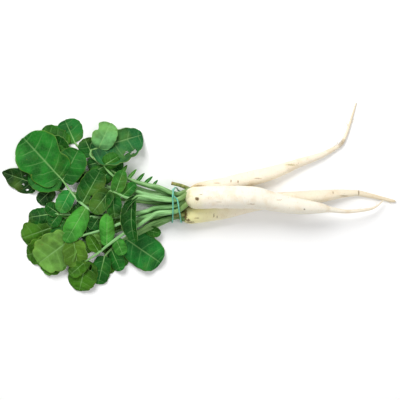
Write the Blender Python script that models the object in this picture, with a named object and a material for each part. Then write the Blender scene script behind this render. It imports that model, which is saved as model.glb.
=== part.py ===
# A bunch of three slim white radishes with their leaves, held by an elastic band wound
# twice round the leaf stalks. The bunch lies on a surface: +Z is up, the roots point
# toward +X, the leaves fan out toward -X, and the origin is the middle of the underside.
# Every leaf is one closed solid, its stalk, midrib and blades grown together. The leaves
# are laid down one after another on a height map of what already lies there, so that each
# one rests on the heap below it.
import bpy
import numpy as np
from mathutils import Vector
from mathutils.geometry import delaunay_2d_cdt

MM = 0.001
GAP = 0.5 * MM                 # air between two pieces that lie on each other

# roots
ROOT_SIDES = 16
ROOT_STEP = 11 * MM            # spacing of the rings along a root
BELLY = 0.3 * MM               # how deep a lying root is pressed flat
CROWN_SHAPE = ((0, 0.62), (1.5, 0.80), (5, 0.93), (11, 1.0))   # mm from the end, share of radius
CROWN_LENGTH = 11 * MM
ROOT_CLEARANCE = 0.9 * MM      # air between two crossing roots, whose rings are faceted
ROOT_SAG = 320 * MM            # bend radius of a root that hangs over another one

# leaves
STALK_STEP = 10 * MM           # spacing of the stations along a stalk
STALK_RADIUS = 2.5 * MM        # at the crown and in the band
STALK_END_RADIUS = 1.6 * MM    # where the end blade starts
FOOT_GAP = 1.2 * MM            # between a crown and the feet of its stalks
MIDRIB_RADIUS = 1.1 * MM
BLADE_HALF = 0.6 * MM          # half the thickness of a blade
BLADE_AIR = 2.0 * MM           # air under a blade that lies on others
LEAF_BEND = 60 * MM            # tightest vertical bend of a leaf that lies over another
LEAF_REACH = 150 * MM          # how far beyond the band a leaf has come down
DROOP = 0.10                   # fall of a blade away from its midrib
LOBE_OUTLINE = ((0.0, 0.14), (0.12, 0.62), (0.33, 0.95), (0.56, 1.0), (0.80, 0.78), (0.95, 0.36), (1.0, 0.0))
WIDE_BLADE = 26 * MM           # a blade wider than this gets a row of points beside its midrib

# band
BAND_RADIUS = 1.15 * MM
BAND_SPREAD = 7.2 * MM         # how far its two turns stand from the middle
BAND_CROSSING = 38.0           # where the turns cross, in degrees from +Y toward +Z
BAND_SLIP = 5.0 * MM           # how far the crossing has slipped toward the leaves
BAND_AIR = 0.9 * MM            # air between the band and the stalks' corners
STALKS_FLOOR = 4.4 * MM        # the lowest stalks run this high over the band
BAND_STATIONS = 84
BAND_SIDES = 8
STALKS_IN_BAND = 9.5 * MM      # the band is drawn round the stalks this far to each side

# height map of what lies on the surface
CELL = 1.0 * MM
MAP_LOW = np.array((-285 * MM, -150 * MM))
MAP_CELLS = (330, 290)
FILL_MARGIN = 0.5 * MM         # a piece fills the cells this far outside its outline
FEEL_MARGIN = 0.3 * MM         # and feels for what is below it this far outside
ROW_HEIGHT = 5.9 * MM          # one layer of stalks in the band
COLUMN_WIDTH = 8.4 * MM
COLUMN_MIDDLE = -2.0 * MM

# Each root: its axis in plan from crown to tail, in mm from the middle of the band, with
# the radius in mm. The front root lies on the two others.
ROOTS = {
    "upper_root": {
        "colour": (0.89, 0.87, 0.72),
        "axis": ((18, 15, 8.8), (27, 18, 10.6), (37, 21, 11.8), (48, 23, 12.0), (72, 28, 12.0), (102, 36, 11.4),
                 (141, 46, 10.0), (182, 61, 6.6), (214, 72, 4.6), (234, 82, 3.2), (246, 90, 2.6),
                 (254, 105, 2.2), (261, 126, 1.6), (269, 152, 0.8)),
    },
    "lower_root": {
        "colour": (0.90, 0.90, 0.70),
        "axis": ((10, -16, 13.6), (16, -16, 14.0), (34, -14, 13.8), (70, -9, 13.4), (94, -3, 13.0),
                 (118, 2, 12.4), (141, 5, 11.8), (166, 7, 11.2), (189, 9, 10.6), (213, 11, 9.6),
                 (228, 13, 8.2), (244, 15, 6.6), (261, 16, 5.0), (272, 16, 4.4), (292, 12, 3.4),
                 (309, 8, 2.8), (321, 5, 2.4), (328, 4, 1.6)),
    },
    "front_root": {
        "colour": (0.92, 0.92, 0.78),
        "axis": ((14, 8, 13.4), (22, 9, 15.6), (34, 9, 16.6), (57, 10, 16.8), (94, 10, 16.8),
                 (118, 9, 16.0), (141, 4, 14.0), (165, -1, 12.6), (189, -4, 10.8), (213, -6, 7.4),
                 (228, -8, 4.4), (249, -11, 3.0), (271, -10, 2.4), (290, -7, 1.8), (300, -2, 1.2),
                 (309, 6, 0.8)),
    },
}

# Each leaf, from the lowest in the heap to the highest, in mm from the middle of the band:
# column and row are its slot in the band, base its place on the crown (across, up), stalk
# its route beyond the band to where the end blade starts, blade the tip and width of that
# blade, and leaflets the root, tip and width of each side blade.
LEAVES = {
    "lower_leaf_1": {
        "root": "lower_root", "column": 0, "row": 0, "base": (6.6, -5),
        "stalk": ((-56, 4), (-100, 9), (-146, 15), (-183, 22), (-208, 29)), "blade": (-261, 46, 42),
        "leaflets": ((-186, 23, -208, 2, 26), (-160, 18, -172, -3, 22), (-176, 21, -178, 42, 20),
                     (-134, 14, -146, -3, 18)),
    },
    "lower_leaf_2": {
        "root": "lower_root", "column": -1, "row": 0, "base": (0, -6.4),
        "stalk": ((-40, -22), (-78, -36), (-116, -50), (-146, -58), (-170, -65)), "blade": (-225, -76, 34),
        "leaflets": ((-164, -64, -200, -102, 32), (-138, -56, -134, -74, 18)),
    },
    "upper_leaf_1": {
        "root": "upper_root", "column": 2, "row": 0, "base": (0, -6),
        "stalk": ((-40, 18), (-78, 33), (-108, 54), (-130, 72), (-146, 84), (-153, 92)),
        "blade": (-168, 126, 42), "leaflets": (),
    },
    "upper_leaf_2": {
        "root": "upper_root", "column": 1, "row": 0, "base": (-6.6, -6),
        "stalk": ((-56, 9), (-98, 21), (-128, 39), (-152, 57), (-166, 69)), "blade": (-194, 96, 36),
        "leaflets": ((-128, 39, -118, 57, 18), (-142, 51, -158, 36, 20), (-116, 32, -128, 18, 18)),
    },
    "lower_leaf_3": {
        "root": "lower_root", "column": -1, "row": 1, "base": (0, 0.3),
        "stalk": ((-40, -21), (-78, -28), (-116, -33), (-148, -33), (-178, -32)), "blade": (-232, -51, 38),
        "leaflets": ((-172, -33, -190, -12, 20), (-153, -33, -166, -51, 20), (-134, -33, -146, -15, 18),
                     (-116, -33, -123, -51, 16)),
    },
    "lower_leaf_4": {
        "root": "lower_root", "column": -2, "row": 0, "base": (-6.6, -6),
        "stalk": ((-33, -26), (-58, -42), (-86, -63), (-108, -81), (-122, -93)), "blade": (-158, -123, 34),
        "leaflets": ((-108, -81, -98, -104, 20), (-98, -72, -112, -58, 16)),
    },
    "upper_leaf_3": {
        "root": "upper_root", "column": 2, "row": 1, "base": (0, 0.5),
        "stalk": ((-40, 14), (-74, 26), (-100, 44), (-118, 62), (-126, 72)), "blade": (-138, 98, 24),
        "leaflets": ((-118, 62, -134, 58, 14), (-110, 52, -108, 70, 16)),
    },
    "upper_leaf_4": {
        "root": "upper_root", "column": 1, "row": 1, "base": (-6.6, 0.6),
        "stalk": ((-40, 12), (-62, 17), (-87, 21), (-108, 28), (-126, 40), (-141, 54), (-154, 74), (-164, 85)),
        "blade": (-200, 112, 48),
        "leaflets": ((-129, 44, -86, 68, 32), (-114, 32, -98, 54, 22), (-146, 60, -172, 48, 22)),
    },
    "lower_leaf_5": {
        "root": "lower_root", "column": 0, "row": 1, "base": (6.6, 1.5),
        "stalk": ((-40, -12), (-78, -18), (-116, -27), (-146, -36), (-166, -45)), "blade": (-194, -60, 30),
        "leaflets": ((-138, -34, -130, -53, 18), (-116, -27, -126, -10, 18), (-93, -22, -88, -38, 14),
                     (-153, -39, -170, -25, 20)),
    },
    "lower_leaf_6": {
        "root": "lower_root", "column": -2, "row": 1, "base": (-6.6, 0.4),
        "stalk": ((-28, -31), (-48, -40), (-68, -52), (-80, -62)), "blade": (-90, -95, 26),
        "leaflets": ((-46, -38, -24, -44, 14),),
    },
    "lower_leaf_7": {
        "root": "lower_root", "column": -2, "row": 2, "base": (-6.6, 6.8),
        "stalk": ((-28, -26), (-45, -34), (-63, -44), (-80, -53), (-98, -67), (-108, -78)),
        "blade": (-118, -120, 30),
        "leaflets": ((-76, -51, -24, -88, 52), (-98, -67, -84, -100, 26)),
    },
    "upper_leaf_5": {
        "root": "upper_root", "column": 2, "row": 2, "base": (6.6, -2),
        "stalk": ((-40, 26), (-70, 36), (-98, 51), (-118, 64), (-129, 73), (-127, 81)),
        "blade": (-52, 104, 46),
        "leaflets": ((-104, 55, -80, 62, 24), (-118, 84, -100, 120, 32)),
    },
    "upper_leaf_6": {
        "root": "upper_root", "column": 2, "row": 3, "base": (6.6, 4),
        "stalk": ((-26, 25), (-40, 28), (-56, 32), (-70, 37), (-82, 42), (-92, 47)), "blade": (-112, 60, 16),
        "leaflets": ((-36, 27, -28, 36, 8), (-48, 30, -36, 41, 9), (-60, 33, -48, 46, 10),
                     (-72, 38, -60, 52, 10), (-84, 43, -74, 58, 12)),
    },
    "front_leaf_1": {
        "root": "front_root", "column": 0, "row": 2, "base": (0, -6.4),
        "stalk": ((-40, -10), (-70, -17), (-100, -20), (-130, -19), (-159, -16), (-188, -15)),
        "blade": (-222, -20, 22),
        "leaflets": ((-176, -15, -196, -1, 16), (-158, -16, -176, 0, 18), (-176, -15, -190, -33, 16),
                     (-138, -19, -153, -2, 18), (-116, -20, -128, -38, 18), (-88, -19, -100, -35, 16)),
    },
    "front_leaf_2": {
        "root": "front_root", "column": -1, "row": 2, "base": (-6.6, -4),
        "stalk": ((-40, -17), (-78, -27), (-108, -38), (-134, -45), (-148, -50), (-160, -54)),
        "blade": (-212, -84, 60), "leaflets": ((-152, -52, -146, -96, 40), (-123, -42, -118, -66, 22)),
    },
    "front_leaf_3": {
        "root": "front_root", "column": 1, "row": 2, "base": (6.6, -6),
        "stalk": ((-48, 15), (-78, 30), (-98, 45), (-108, 57)), "blade": (-96, 92, 30), "leaflets": (),
    },
    "front_leaf_4": {
        "root": "front_root", "column": 0, "row": 3, "base": (0, 0.4),
        "stalk": ((-34, -6), (-43, -10), (-64, -14), (-86, -17), (-110, -14), (-128, -9), (-138, -2),
                  (-147, 5), (-158, 18), (-166, 29), (-172, 37)),
        "blade": (-228, 102, 58),
        "leaflets": ((-168, 33, -240, 38, 38), (-169, 34, -148, 76, 42), (-159, 19, -174, -12, 26),
                     (-134, -5, -168, -56, 38), (-141, 0, -116, 50, 40)),
    },
    "front_leaf_5": {
        "root": "front_root", "column": 1, "row": 3, "base": (6.6, 1),
        "stalk": ((-40, 8), (-72, 9), (-88, 16), (-99, 20)), "blade": (-128, -10, 34),
        "leaflets": ((-94, 18, -92, -22, 34), (-91, 17, -78, 52, 24), (-80, 13, -60, 30, 20)),
    },
    "front_leaf_6": {
        "root": "front_root", "column": -1, "row": 3, "base": (-6.6, 2.5),
        "stalk": ((-28, -13), (-43, -22), (-56, -31), (-74, -41), (-93, -54), (-116, -72), (-135, -85)),
        "blade": (-146, -130, 44),
        "leaflets": ((-104, -62, -103, -14, 24), (-90, -52, -80, -76, 22), (-116, -71, -132, -46, 22),
                     (-134, -84, -160, -106, 26)),
    },
    "front_leaf_7": {
        "root": "front_root", "column": 1, "row": 4, "base": (6.6, 7),
        "stalk": ((-26, 7), (-44, 11), (-57, 12), (-66, 7)), "blade": (-62, -58, 26),
        "leaflets": ((-58, 12, -78, -16, 20),),
    },
}
# Stalks that were cut short, each laid before the leaf that it names.
STUBS = {
    "upper_stalk_stub": {
        "colour": (0.33, 0.30, 0.10), "radius": 2.6, "height": 17, "under": "upper_leaf_5",
        "route": ((16, 23.5), (6, 27.6), (-8, 31)),
    },
    "lower_stalk_stub": {
        "colour": (0.50, 0.52, 0.18), "radius": 3.0, "height": 20, "under": "front_leaf_1",
        "route": ((8.6, -15), (2, -16), (-7, -17.5)),
    },
}
BLADE_COLOURS = {"front_root": (0.10, 0.27, 0.08), "upper_root": (0.07, 0.21, 0.06), "lower_root": (0.08, 0.18, 0.05)}
BAND_COLOUR = (0.12, 0.60, 0.50)

heights = np.zeros(MAP_CELLS)


def clear_scene():
    for item in list(bpy.data.objects):
        bpy.data.objects.remove(item, do_unlink=True)


def material(name, colour, roughness):
    made = bpy.data.materials.new(name)
    made.use_nodes = True
    shader = made.node_tree.nodes["Principled BSDF"]
    shader.inputs["Base Color"].default_value = (*colour, 1.0)
    shader.inputs["Roughness"].default_value = roughness
    shader.inputs["Metallic"].default_value = 0.0
    return made


def add_solid(name, points, faces, colour, roughness):
    mesh = bpy.data.meshes.new(name)
    mesh.from_pydata([tuple(point) for point in points], [], faces)
    mesh.validate()
    mesh.shade_smooth()
    mesh.set_sharp_from_angle(angle=np.radians(50))
    mesh.materials.append(material(name + "_finish", colour, roughness))
    solid = bpy.data.objects.new(name, mesh)
    bpy.context.collection.objects.link(solid)
    return solid


def smooth_path(points, spacing):
    """A Catmull-Rom curve through the points, read at equal steps of its length in plan."""
    points = np.array(points, float)
    ends = np.vstack([2 * points[0] - points[1], points, 2 * points[-1] - points[-2]])
    pieces = []
    t = np.linspace(0, 1, 24, endpoint=False)[:, None]
    for p0, p1, p2, p3 in zip(ends, ends[1:], ends[2:], ends[3:]):
        square = (2 * p0 - 5 * p1 + 4 * p2 - p3) * t ** 2
        cube = (3 * p1 - p0 - 3 * p2 + p3) * t ** 3
        pieces.append(0.5 * (2 * p1 + (p2 - p0) * t + square + cube))
    fine = np.vstack(pieces + [points[-1:]])
    steps = np.linalg.norm(np.diff(fine[:, :2], axis=0), axis=1)
    run = np.concatenate([[0], np.cumsum(steps)])
    at = np.linspace(0, run[-1], max(3, round(run[-1] / spacing) + 1))
    return np.stack([np.interp(at, run, column) for column in fine.T], axis=1)


def directions(path):
    along = np.gradient(path, axis=0)
    return along / np.linalg.norm(along, axis=1)[:, None]


# ---- roots ----

def over_others(axis, others):
    """The height of each round station of this axis: on the surface, or clear of the other
    roots that cross below it, with a stiff sag between the places where it rests."""
    height = axis[:, 2].copy()
    span = np.linalg.norm(axis[:, None, :2] - axis[None, :, :2], axis=2)
    for other in others:
        apart = np.linalg.norm(axis[:, None, :2] - other[None, :, :2], axis=2)
        reach = axis[:, None, 2] + other[None, :, 2] + ROOT_CLEARANCE
        rise = np.sqrt(np.maximum(reach ** 2 - apart ** 2, 0))
        rests_at = np.where(apart < reach, other[None, :, 3] + rise, 0).max(axis=1)
        carried = np.where(rests_at > 0, rests_at, -np.inf)[None, :] - span ** 2 / (2 * ROOT_SAG)
        height = np.maximum(height, carried.max(axis=1))
    return height


def root_axis(spec, others):
    """x, y, radius and height of stations along a root, with a rounded crown."""
    axis = smooth_path(np.array(spec["axis"]) * MM, ROOT_STEP)
    along = np.concatenate([[0], np.cumsum(np.linalg.norm(np.diff(axis[:, :2], axis=0), axis=1))])
    crown = np.array([[at * MM, share] for at, share in CROWN_SHAPE])
    at = np.concatenate([crown[:-1, 0], along[along > CROWN_LENGTH - 1 * MM]])
    axis = np.stack([np.interp(at, along, column) for column in axis.T], axis=1)
    axis[:, 2] *= np.interp(at, crown[:, 0], crown[:, 1])
    full = axis.copy()
    full[:, 2] = np.maximum(full[:, 2], full[4, 2] * (at < CROWN_LENGTH))
    height = over_others(full, others)
    return np.column_stack([axis, height])


def add_root(name, spec, axis):
    centres = axis[:, (0, 1, 3)]
    along = directions(centres)
    across = np.cross((0, 0, 1), along)
    across /= np.linalg.norm(across, axis=1)[:, None]
    upward = np.cross(along, across)
    turn = 2 * np.pi * (np.arange(ROOT_SIDES) + 0.5) / ROOT_SIDES
    ring = across[:, None] * np.cos(turn)[None, :, None] + upward[:, None] * np.sin(turn)[None, :, None]
    points = centres[:, None] + ring * axis[:, 2][:, None, None]
    lying = axis[:, 3] < axis[:, 2] + 0.05 * MM
    points[..., 2] -= np.where(lying, BELLY, 0)[:, None]
    belly = (np.sin(turn) < -0.97)[None, :] & lying[:, None]
    points[..., 2] = np.where(belly, 0, np.maximum(points[..., 2], 0))
    count = len(axis)
    faces = []
    for i in range(count - 1):
        for j in range(ROOT_SIDES):
            k = (j + 1) % ROOT_SIDES
            faces.append((i * ROOT_SIDES + j, i * ROOT_SIDES + k, (i + 1) * ROOT_SIDES + k, (i + 1) * ROOT_SIDES + j))
    faces.append(tuple(range(ROOT_SIDES))[::-1])
    faces.append(tuple((count - 1) * ROOT_SIDES + j for j in range(ROOT_SIDES)))
    return add_solid(name, points.reshape(-1, 3), faces, spec["colour"], 0.42)


# ---- height map ----

def cells_under(corners, margin):
    """Cells of the height map inside a triangle or nearly so, with their weights on its corners."""
    low = np.floor((corners.min(axis=0) - MAP_LOW - margin) / CELL).astype(int)
    high = np.ceil((corners.max(axis=0) - MAP_LOW + margin) / CELL).astype(int) + 1
    column, row = np.meshgrid(np.arange(low[0], high[0]), np.arange(low[1], high[1]), indexing="ij")
    places = MAP_LOW + CELL * (np.stack([column, row], axis=-1) + 0.5)
    a, b, c = corners
    double_area = np.cross(b - a, c - a)
    along = (places - a) @ np.linalg.inv(np.column_stack([b - a, c - a])).T
    weights = np.stack([1 - along.sum(axis=-1), along[..., 0], along[..., 1]], axis=-1)
    sides = np.array([np.linalg.norm(c - b), np.linalg.norm(a - c), np.linalg.norm(b - a)])
    inside = (weights * double_area / sides >= -margin).all(axis=-1)
    weights = weights[inside].clip(0, 1)
    return column[inside], row[inside], weights / weights.sum(axis=1)[:, None]


def raise_floor_at_band():
    """Under the stalks runs the band, which keeps them off the surface."""
    places = MAP_LOW[0] + CELL * (np.arange(MAP_CELLS[0]) + 0.5)
    heights[np.abs(places) < BAND_SPREAD + 2 * BAND_RADIUS] = STALKS_FLOOR


def lie_down(plan, triangles, half, wanted):
    """Middle height of each point: as wanted, but over all that already lies below it."""
    need = np.zeros(len(plan))
    for triangle in triangles:
        column, row, _ = cells_under(plan[triangle], FEEL_MARGIN)
        if len(column):
            need[triangle] = np.maximum(need[triangle], heights[column, row].max())
    air = np.where(half < 1.01 * BLADE_HALF, BLADE_AIR, GAP)
    need += half + np.where(need > 0, air, 0)
    apart = np.linalg.norm(plan[:, None] - plan[None, :], axis=2)
    stiff = (need[None, :] - apart ** 2 / (2 * LEAF_BEND)).max(axis=1)
    return np.maximum(wanted, stiff)


def heap_up(plan, triangles, top):
    for triangle in triangles:
        column, row, weights = cells_under(plan[triangle], FILL_MARGIN)
        heights[column, row] = np.maximum(heights[column, row], weights @ top[triangle])


# ---- leaves ----

def lobe_polygon(root, tip, width):
    root = np.array(root, float)
    axis = np.array(tip, float) - root
    side = np.array((-axis[1], axis[0])) / np.linalg.norm(axis)
    left = [root + axis * u + side * width / 2 * w for u, w in LOBE_OUTLINE]
    right = [root + axis * u - side * width / 2 * w for u, w in LOBE_OUTLINE[:-1]]
    return right + left[::-1]


def lobe_inside(root, tip, width):
    """Points along a blade's midrib, and beside it on a wide one."""
    root = np.array(root, float)
    axis = np.array(tip, float) - root
    length = np.linalg.norm(axis)
    side = np.array((-axis[1], axis[0])) / length
    shares = np.linspace(0, 1, max(3, round(length / STALK_STEP)))[1:-1]
    points = [root + axis * u for u in shares]
    if width > WIDE_BLADE:
        for u, w in LOBE_OUTLINE[2:5]:
            points += [root + axis * u + side * width * w / 4, root + axis * u - side * width * w / 4]
    return points


def strip_polygon(path, radius):
    along = directions(path)
    side = np.column_stack([-along[:, 1], along[:, 0]])
    side[0] = (0, -1)          # the foot is square to X, against the crown
    side = side * np.broadcast_to(radius, len(path))[:, None]
    return list(path - side) + list(path + side)[::-1]


def plan_mesh(polygons, inside):
    """Triangles over the union of the polygons, with extra points inside."""
    points = []
    faces = []
    for polygon in polygons:
        faces.append(list(range(len(points), len(points) + len(polygon))))
        points += [Vector(point) / MM for point in polygon]
    points += [Vector(point) / MM for point in inside]
    verts, _, triangles, *_ = delaunay_2d_cdt(points, [], faces, 1, 0.35)
    used = sorted({index for triangle in triangles for index in triangle})
    number = {old: new for new, old in enumerate(used)}
    plan = np.array([verts[index] for index in used]) * MM
    return plan, np.array([[number[index] for index in triangle] for triangle in triangles])


def close_shell(plan, triangles, top, bottom):
    """Top skin, bottom skin and the rim between them, as one closed solid."""
    count = len(plan)
    points = np.vstack([np.column_stack([plan, top]), np.column_stack([plan, bottom])])
    faces = [tuple(triangle) for triangle in triangles]
    faces += [tuple(triangle[::-1] + count) for triangle in triangles]
    edges = {(t[i], t[(i + 1) % 3]) for t in triangles.tolist() for i in range(3)}
    for a, b in edges:
        if (b, a) not in edges:
            faces += [(a, a + count, b + count), (a, b + count, b)]
    return points, [tuple(int(index) for index in face) for face in faces]


def leaf_spine(spec, crown, crown_height):
    """Plan route and wanted height of a leaf's stalk, from the crown to its end blade."""
    slot = (0.0, COLUMN_MIDDLE + spec["column"] * COLUMN_WIDTH)
    slot_height = STALKS_FLOOR + STALK_RADIUS + spec["row"] * ROW_HEIGHT
    across, up = np.array(spec["base"]) * MM
    start = (crown[0] - FOOT_GAP, crown[1] + across)
    route = [start, slot] + [tuple(np.array(point) * MM) for point in spec["stalk"]]
    path = smooth_path(route, STALK_STEP)
    beyond = (np.clip(-path[:, 0] / LEAF_REACH, 0, 1)) ** 1.3
    inner = np.clip(path[:, 0] / start[0], 0, 1)
    wanted = slot_height * (1 - beyond) + (crown_height + up - slot_height) * inner
    return path, wanted


def distance_to_line(plan, line):
    """Distance of each point from a polyline, and where along it that is, 0 to 1."""
    best = np.full(len(plan), np.inf)
    share = np.zeros(len(plan))
    for i, (a, b) in enumerate(zip(line, line[1:])):
        run = b - a
        t = ((plan - a) @ run / (run @ run)).clip(0, 1)
        apart = np.linalg.norm(plan - a - t[:, None] * run, axis=1)
        share = np.where(apart < best, (i + t) / (len(line) - 1), share)
        best = np.minimum(best, apart)
    return best, share


def add_leaf(name, spec, roots):
    crown = roots[spec["root"]][0]
    path, wanted_along = leaf_spine(spec, crown, crown[3])
    radius = np.interp(np.arange(len(path)), (0, 2, len(path) - 1), (STALK_RADIUS, STALK_RADIUS, STALK_END_RADIUS))
    lobes = [(path[-1], np.array(spec["blade"][:2]) * MM, spec["blade"][2] * MM)]
    for x0, y0, x1, y1, width in spec["leaflets"]:
        lobes.append((np.array((x0, y0)) * MM, np.array((x1, y1)) * MM, width * MM))
    polygons = [strip_polygon(path, radius)] + [lobe_polygon(*lobe) for lobe in lobes]
    inside = list(path[1:]) + [point for lobe in lobes for point in lobe_inside(*lobe)]
    plan, triangles = plan_mesh(polygons, inside)

    from_stalk, share = distance_to_line(plan, path)
    stalk = np.interp(share * (len(path) - 1), np.arange(len(path)), radius)
    round_part = stalk * np.sqrt(np.maximum(1 - (0.85 * from_stalk / stalk) ** 2, 0))
    half = np.maximum(BLADE_HALF, np.where(from_stalk < stalk * 1.05, round_part, 0))
    for root, tip, _ in lobes:
        from_rib, _ = distance_to_line(plan, np.array([root, tip]))
        half = np.maximum(half, MIDRIB_RADIUS * (from_rib < 0.3 * MM))
    wanted = np.interp(share * (len(path) - 1), np.arange(len(path)), wanted_along) - DROOP * from_stalk
    middle = lie_down(plan, triangles, half, wanted)
    heap_up(plan, triangles, middle + half)
    points, faces = close_shell(plan, triangles, middle + half, middle - half)
    add_solid(name, points, faces, BLADE_COLOURS[spec["root"]], 0.5)
    return points


def add_stub(name, spec):
    """A stalk cut short: a stub that lies on the stalks below it."""
    path = smooth_path(np.array(spec["route"]) * MM, 5 * MM)
    radius = spec["radius"] * MM
    plan, triangles = plan_mesh([strip_polygon(path, radius)], list(path[1:-1]))
    from_stalk, _ = distance_to_line(plan, path)
    half = radius * np.sqrt(np.maximum(1 - (0.85 * from_stalk / radius) ** 2, 0))
    middle = lie_down(plan, triangles, half, np.full(len(plan), spec["height"] * MM))
    heap_up(plan, triangles, middle + half)
    points, faces = close_shell(plan, triangles, middle + half, middle - half)
    add_solid(name, points, faces, spec["colour"], 0.6)
    return points


# ---- band ----

def band_path(stalk_points):
    """Two turns drawn tight round the stalks: the outline that a taut band takes is the
    stalks' support function moved outward, and x swings once to each side in two turns."""
    held = stalk_points[np.abs(stalk_points[:, 0]) < STALKS_IN_BAND][:, 1:]
    turn = np.linspace(0, 4 * np.pi, BAND_STATIONS, endpoint=False)
    fine = np.linspace(0, 2 * np.pi, 360, endpoint=False)
    normals = np.column_stack([np.cos(fine), np.sin(fine)])
    support = (normals @ held.T).max(axis=1)
    window = np.hanning(41) / np.hanning(41).sum()
    support = np.convolve(np.tile(support, 3), window, "same")[360:720]
    slope = np.gradient(np.tile(support, 3), fine[1])[360:720]
    support_at = np.interp(turn % (2 * np.pi), fine, support, period=2 * np.pi)
    slope_at = np.interp(turn % (2 * np.pi), fine, slope, period=2 * np.pi)
    phase = (turn - np.radians(BAND_CROSSING) + np.pi) / 2
    over = 2.5 * BAND_RADIUS * np.maximum(np.sin(phase), 0) ** 6
    lift = BAND_RADIUS + BAND_AIR + over
    support_at = support_at + lift
    y = support_at * np.cos(turn) - slope_at * np.sin(turn)
    z = support_at * np.sin(turn) + slope_at * np.cos(turn)
    x = BAND_SPREAD * np.cos(phase) - BAND_SLIP * np.sin(phase) ** 8
    return np.column_stack([x, y, z])


def add_band(stalk_points):
    path = band_path(stalk_points)
    along = (np.roll(path, -1, axis=0) - np.roll(path, 1, axis=0))
    along /= np.linalg.norm(along, axis=1)[:, None]
    side = np.cross(along, (1, 0, 0))
    side /= np.linalg.norm(side, axis=1)[:, None]
    upward = np.cross(side, along)
    turn = 2 * np.pi * np.arange(BAND_SIDES) / BAND_SIDES
    ring = side[:, None] * np.cos(turn)[None, :, None] + upward[:, None] * np.sin(turn)[None, :, None]
    points = (path[:, None] + ring * BAND_RADIUS).reshape(-1, 3)
    faces = []
    for i in range(BAND_STATIONS):
        after = (i + 1) % BAND_STATIONS
        for j in range(BAND_SIDES):
            k = (j + 1) % BAND_SIDES
            faces.append((i * BAND_SIDES + j, after * BAND_SIDES + j, after * BAND_SIDES + k, i * BAND_SIDES + k))
    return add_solid("tie_band", points, faces, BAND_COLOUR, 0.35)


# ---- the bunch ----

def centre_on_origin():
    solids = list(bpy.context.collection.objects)
    corners = np.array([tuple(vertex.co) for solid in solids for vertex in solid.data.vertices])
    low, high = corners.min(axis=0), corners.max(axis=0)
    for solid in solids:
        solid.location = (-(low[0] + high[0]) / 2, -(low[1] + high[1]) / 2, -low[2])
    print("size in mm:", np.round((high - low) / MM, 1), "shift:", np.round(tuple(solids[0].location), 4))


def main():
    clear_scene()
    roots = {}
    for name, spec in ROOTS.items():
        roots[name] = root_axis(spec, list(roots.values()))
        add_root(name, spec, roots[name])
    raise_floor_at_band()
    held = []
    for name, spec in LEAVES.items():
        for stub, stub_spec in STUBS.items():
            if stub_spec["under"] == name:
                add_stub(stub, stub_spec)
        held.append(add_leaf(name, spec, roots))
    add_band(np.vstack(held))
    centre_on_origin()


main()
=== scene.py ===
import bpy
import numpy as np
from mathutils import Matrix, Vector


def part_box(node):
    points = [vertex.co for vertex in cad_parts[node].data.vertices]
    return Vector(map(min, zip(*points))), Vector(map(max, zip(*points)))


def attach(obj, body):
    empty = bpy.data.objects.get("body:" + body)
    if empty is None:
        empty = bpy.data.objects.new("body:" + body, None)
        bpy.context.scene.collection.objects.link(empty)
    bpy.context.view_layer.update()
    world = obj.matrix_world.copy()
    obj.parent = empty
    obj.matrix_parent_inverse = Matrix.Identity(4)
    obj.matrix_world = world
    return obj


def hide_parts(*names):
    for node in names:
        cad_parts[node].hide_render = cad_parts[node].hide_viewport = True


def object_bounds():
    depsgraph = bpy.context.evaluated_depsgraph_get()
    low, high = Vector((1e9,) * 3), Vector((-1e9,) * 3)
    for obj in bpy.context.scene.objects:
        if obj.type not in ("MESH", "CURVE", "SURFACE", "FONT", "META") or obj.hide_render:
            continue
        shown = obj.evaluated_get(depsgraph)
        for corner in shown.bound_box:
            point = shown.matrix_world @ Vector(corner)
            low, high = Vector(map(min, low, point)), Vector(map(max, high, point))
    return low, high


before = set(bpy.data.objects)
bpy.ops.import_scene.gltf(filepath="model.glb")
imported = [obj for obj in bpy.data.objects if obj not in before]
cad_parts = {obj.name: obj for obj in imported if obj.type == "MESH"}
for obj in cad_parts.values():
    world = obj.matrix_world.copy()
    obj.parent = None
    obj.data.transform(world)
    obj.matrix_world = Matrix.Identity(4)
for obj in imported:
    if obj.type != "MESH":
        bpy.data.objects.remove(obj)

cadLow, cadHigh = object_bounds()
mm = 0.001
chance = np.random.default_rng(11)

# the routes and tips below are in mm in plan from the middle of the bundle, +x toward the root tips;
# the band sits across that middle, and its box reaches a little further to -y than to +y of it
bandLean = 1.65 * mm
bandLow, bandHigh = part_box("tie_band")
planOrigin = np.array(((bandLow.x + bandHigh.x) / 2, (bandLow.y + bandHigh.y) / 2 + bandLean))
columns = dict(middle=-2.0, width=8.4)       # where the stalks pass through the band


def shade(red, green, blue):
    # an sRGB colour given in 0..255, as linear light
    value = np.array((red, green, blue)) / 255
    return tuple(np.where(value < 0.04045, value / 12.92, ((value + 0.055) / 1.055) ** 2.4))


# meshes from arrays
def makePiece(name, points, faces, marks=None):
    # points n x 3 and quads (or triangles) as an index array; marks are named vectors for each point
    mesh = bpy.data.meshes.new(name)
    sizes = [np.full(len(block), block.shape[1]) for block in faces]
    corners = np.concatenate([block.ravel() for block in faces]).astype(np.int32)
    totals = np.concatenate(sizes).astype(np.int32)
    mesh.vertices.add(len(points))
    mesh.vertices.foreach_set("co", np.ascontiguousarray(points, np.float32).ravel())
    mesh.loops.add(len(corners))
    mesh.loops.foreach_set("vertex_index", corners)
    mesh.polygons.add(len(totals))
    mesh.polygons.foreach_set("loop_start", np.append(0, np.cumsum(totals)[:-1]).astype(np.int32))
    mesh.update(calc_edges=True)
    mesh.validate()
    mesh.shade_smooth()
    for label, values in (marks or {}).items():
        layer = mesh.attributes.new(label, "FLOAT_VECTOR", "POINT")
        layer.data.foreach_set("vector", np.ascontiguousarray(values, np.float32).ravel())
    piece = bpy.data.objects.new(name, mesh)
    bpy.context.collection.objects.link(piece)
    return piece


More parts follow.
